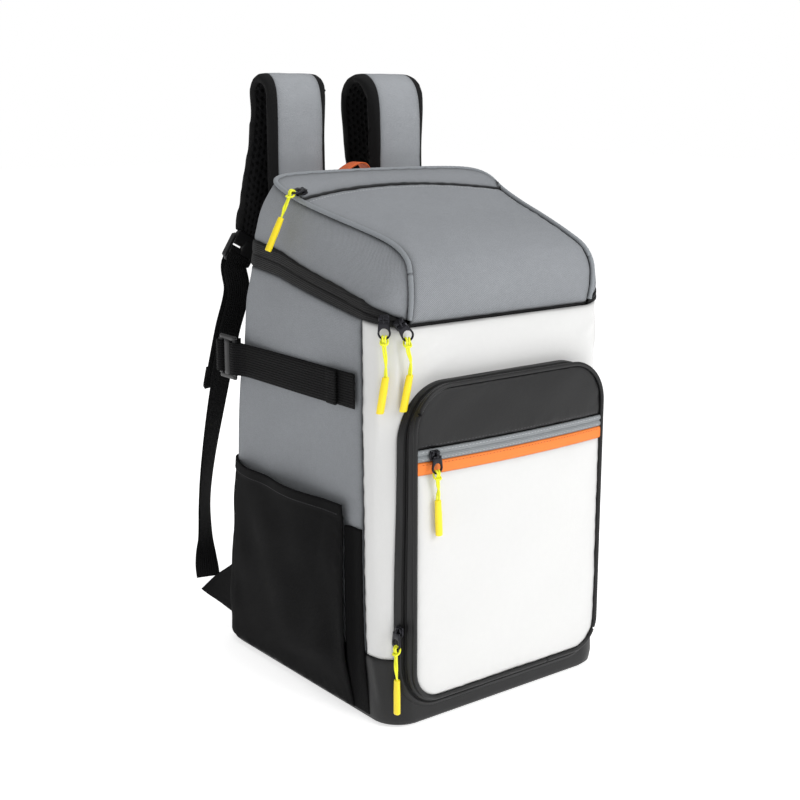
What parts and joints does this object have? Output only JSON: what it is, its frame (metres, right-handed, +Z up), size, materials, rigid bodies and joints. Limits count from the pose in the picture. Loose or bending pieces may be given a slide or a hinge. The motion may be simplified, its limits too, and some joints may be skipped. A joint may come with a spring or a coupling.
{
  "type": "cooler backpack",
  "caption": "Soft cooler backpack with a slanted zipped lid, a piped front pocket, open side pockets, side compression straps, padded shoulder straps and a grab handle.",
  "frame": {"origin": "middle of the base, on the floor", "axes": "+Z up, -Y towards the front pocket, +Y towards the shoulder straps, +X to the viewer's right"},
  "size_m": [0.3053, 0.3683, 0.5893],
  "materials": {
    "grey_twill": "fine twill",
    "white_coated": "smooth coated",
    "black_coated": "satin coated",
    "woven_black": "plain woven",
    "air_mesh": "open knitted mesh",
    "orange_webbing": "woven",
    "zip_tape": "woven",
    "yellow_cord": "braided",
    "yellow_grip": "soft moulded",
    "black_plastic": "moulded",
    "slider_metal": "satin"
  },
  "bodies": {
    "root": {"front_panel": "white_coated", "side_panel_left": "grey_twill", "side_panel_right": "grey_twill", "zip_band_left": "black_coated", "zip_band_right": "black_coated", "zip_band_front": "black_coated", "back_panel": "air_mesh", "base_tray": "black_coated", "lid_top_panel": "grey_twill", "lid_side_left": "grey_twill", "lid_side_right": "grey_twill", "lid_back_panel": "grey_twill", "lid_back_strip": "grey_twill", "lid_pocket_zip": "black_coated", "lid_piping": "grey_twill", "pocket_face": "white_coated", "pocket_zip_flap": "orange_webbing", "pocket_zip_tape": "zip_tape", "pocket_upper_panel": "black_coated", "pocket_gusset_rear": "black_coated", "pocket_gusset_zip": "woven_black", "pocket_gusset_front": "black_coated", "pocket_piping": "black_coated", "side_pocket_left": "woven_black", "side_pocket_right": "woven_black", "side_pocket_pleat_left": "woven_black", "side_pocket_pleat_right": "woven_black", "compression_strap_left": "woven_black", "compression_strap_right": "woven_black", "compression_buckle_left": "black_plastic", "compression_buckle_right": "black_plastic", "compression_anchor_left": "woven_black", "compression_anchor_right": "woven_black", "strap_pad_left": "air_mesh", "strap_pad_right": "air_mesh", "strap_cover_left": "grey_twill", "strap_cover_right": "grey_twill", "ladder_lock_left": "black_plastic", "ladder_lock_right": "black_plastic", "lower_webbing_left": "woven_black", "lower_webbing_right": "woven_black", "webbing_tab_left": "woven_black", "webbing_tab_right": "woven_black", "grab_handle": "orange_webbing", "slider_main_rear": "slider_metal", "slider_main_front": "slider_metal", "slider_pocket": "slider_metal", "slider_gusset": "slider_metal", "slider_lid_pocket": "slider_metal", "pull_cord_main_rear": "yellow_cord", "pull_cord_main_front": "yellow_cord", "pull_cord_pocket": "yellow_cord", "pull_cord_gusset": "yellow_cord", "pull_cord_lid_pocket": "yellow_cord", "pull_grip_main_rear": "yellow_grip", "pull_grip_main_front": "yellow_grip", "pull_grip_pocket": "yellow_grip", "pull_grip_gusset": "yellow_grip", "pull_grip_lid_pocket": "yellow_grip"}
  },
  "joints": []
}
